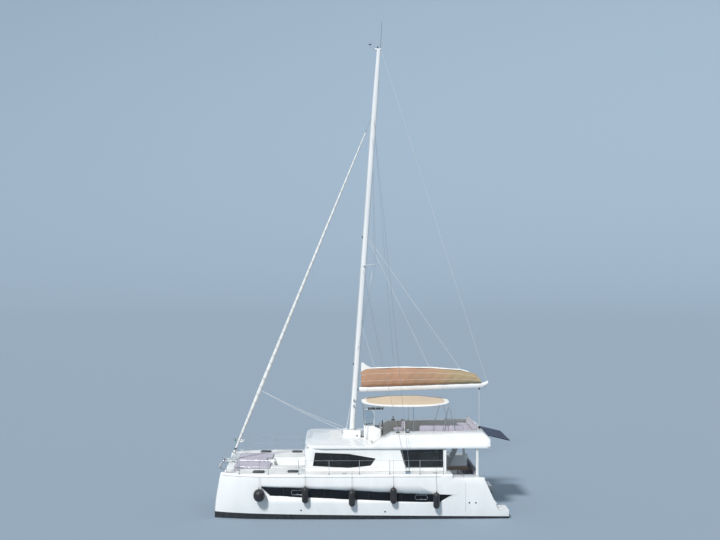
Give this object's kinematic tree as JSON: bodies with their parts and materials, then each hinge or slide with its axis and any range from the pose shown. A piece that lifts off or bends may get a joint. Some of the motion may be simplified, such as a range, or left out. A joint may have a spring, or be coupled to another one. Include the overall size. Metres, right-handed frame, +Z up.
{
  "type": "sailing catamaran",
  "caption": "Cruising sailing catamaran with a solid foredeck, deckhouse and flybridge under a bimini, afloat with her mainsail in its bag and her headsail furled.",
  "frame": {"origin": "on the centreline amidships, at the height of the waterline", "axes": "+X towards the bows, +Y to port, +Z up"},
  "size_m": [13.08, 7.348, 23.2603],
  "materials": {
    "gelcoat": "white polished gelcoat on glass-fibre laminate, with a dark boot band at the waterline",
    "antifouling": "matt black antifouling paint",
    "dark_glass": "dark tinted glass",
    "clear_plastic": "clear acrylic",
    "spar": "white painted aluminium",
    "steel": "polished stainless steel",
    "bronze": "bronze dulled by sea water",
    "tan_canvas": "woven acrylic canvas, tan",
    "cushion": "outdoor cushion cloth, grey with a lilac cast",
    "sail": "white woven sailcloth",
    "rubber": "black fender covers",
    "solar": "dark blue solar cells under glass",
    "teak": "oiled teak",
    "galvanised": "hot-dip galvanised steel"
  },
  "bodies": {
    "boat": {"hull_port": "gelcoat", "hull_starboard": "gelcoat", "hull_window_port": "dark_glass", "hull_window_starboard": "dark_glass", "keel_port": "antifouling", "keel_starboard": "antifouling", "drive_leg_port": "antifouling", "drive_leg_starboard": "antifouling", "bridge_deck": "gelcoat", "foredeck": "gelcoat", "foredeck_pads": "cushion", "house_side_port": "gelcoat", "house_side_starboard": "gelcoat", "house_front": "gelcoat", "side_glass_port": "dark_glass", "side_glass_starboard": "dark_glass", "windscreen_port": "dark_glass", "windscreen_starboard": "dark_glass", "aft_bulkhead": "gelcoat", "fixed_door_leaf": "dark_glass", "saloon_sofa": "cushion", "cockpit_table": "teak", "roof": "gelcoat", "flybridge_stairs": "gelcoat", "helm_console": "gelcoat", "windshield": "clear_plastic", "helm_seat": "cushion", "lounge_base": "gelcoat", "lounge_cushions": "cushion", "bimini_frame": "steel", "bimini_canopy": "tan_canvas", "mast": "spar", "furled_jib": "sail", "shrouds_port": "steel", "shrouds_starboard": "steel", "solar_frame": "steel", "solar_panels": "solar", "guard_rail_port": "steel", "guard_rail_starboard": "steel", "fender_ball": "rubber", "fender_1": "rubber", "fender_2": "rubber", "fender_3": "rubber", "fender_4": "rubber", "bow_roller": "steel", "anchor": "galvanised"},
    "boom_and_bag": {"boom": "spar", "sail_bag": "tan_canvas"},
    "rudder_port_body": {"rudder_port": "antifouling"},
    "rudder_starboard_body": {"rudder_starboard": "antifouling"},
    "helm_wheel_body": {"helm_wheel": "steel"},
    "propeller_port_body": {"propeller_port": "bronze"},
    "propeller_starboard_body": {"propeller_starboard": "bronze"},
    "forward_door_body": {"forward_door": "dark_glass"},
    "sliding_door_body": {"sliding_door": "dark_glass"},
    "hatch_forward_port_lid": {"hatch_forward_port": "dark_glass"},
    "hatch_forward_starboard_lid": {"hatch_forward_starboard": "dark_glass"},
    "hatch_middle_port_lid": {"hatch_middle_port": "dark_glass"},
    "hatch_middle_starboard_lid": {"hatch_middle_starboard": "dark_glass"}
  },
  "joints": [
    {"name": "boom_swing", "type": "hinge", "parent": "boat", "child": "boom_and_bag", "pos_m": [0.07564, 0, 5.23], "axis": [-0.0705, 0, 0.9975], "range_deg": [-45, 45]},
    {"name": "rudder_port_turn", "type": "hinge", "parent": "boat", "child": "rudder_port_body", "pos_m": [-4.95, 2.72, -0.6], "axis": [0, 0, 1], "range_deg": [-35, 35]},
    {"name": "rudder_starboard_turn", "type": "hinge", "parent": "boat", "child": "rudder_starboard_body", "pos_m": [-4.95, -2.72, -0.6], "axis": [0, 0, 1], "range_deg": [-35, 35]},
    {"name": "helm_turn", "type": "hinge", "parent": "boat", "child": "helm_wheel_body", "pos_m": [-0.99, 0.9, 3.6], "axis": [1, 0, 0], "range_deg": [-525, 525]},
    {"name": "propeller_port_spin", "type": "hinge", "parent": "boat", "child": "propeller_port_body", "pos_m": [-3.6, 2.72, -0.86], "axis": [1, 0, 0], "continuous": true},
    {"name": "propeller_starboard_spin", "type": "hinge", "parent": "boat", "child": "propeller_starboard_body", "pos_m": [-3.6, -2.72, -0.86], "axis": [1, 0, 0], "continuous": true},
    {"name": "forward_door_swing", "type": "hinge", "parent": "boat", "child": "forward_door_body", "pos_m": [2.4623, -0.39, 2], "axis": [0, 0, -1], "range_deg": [0, 95]},
    {"name": "sliding_door_slide", "type": "slide", "parent": "boat", "child": "sliding_door_body", "axis": [0, 1, 0], "range_m": [0, 0.88]},
    {"name": "hatch_forward_port_lift", "type": "hinge", "parent": "boat", "child": "hatch_forward_port_lid", "pos_m": [4.7, 2.72, 1.9503], "axis": [0, 1, 0], "range_deg": [0, 80]},
    {"name": "hatch_forward_starboard_lift", "type": "hinge", "parent": "boat", "child": "hatch_forward_starboard_lid", "pos_m": [4.7, -2.72, 1.9503], "axis": [0, 1, 0], "range_deg": [0, 80]},
    {"name": "hatch_middle_port_lift", "type": "hinge", "parent": "boat", "child": "hatch_middle_port_lid", "pos_m": [3.2, 2.66, 1.9503], "axis": [0, 1, 0], "range_deg": [0, 80]},
    {"name": "hatch_middle_starboard_lift", "type": "hinge", "parent": "boat", "child": "hatch_middle_starboard_lid", "pos_m": [3.2, -2.66, 1.9503], "axis": [0, 1, 0], "range_deg": [0, 80]}
  ],
  "couplings": [
    {"joint": "rudder_starboard_turn", "follows": "rudder_port_turn", "ratio": 1},
    {"joint": "helm_turn", "follows": "rudder_port_turn", "ratio": 15}
  ]
}
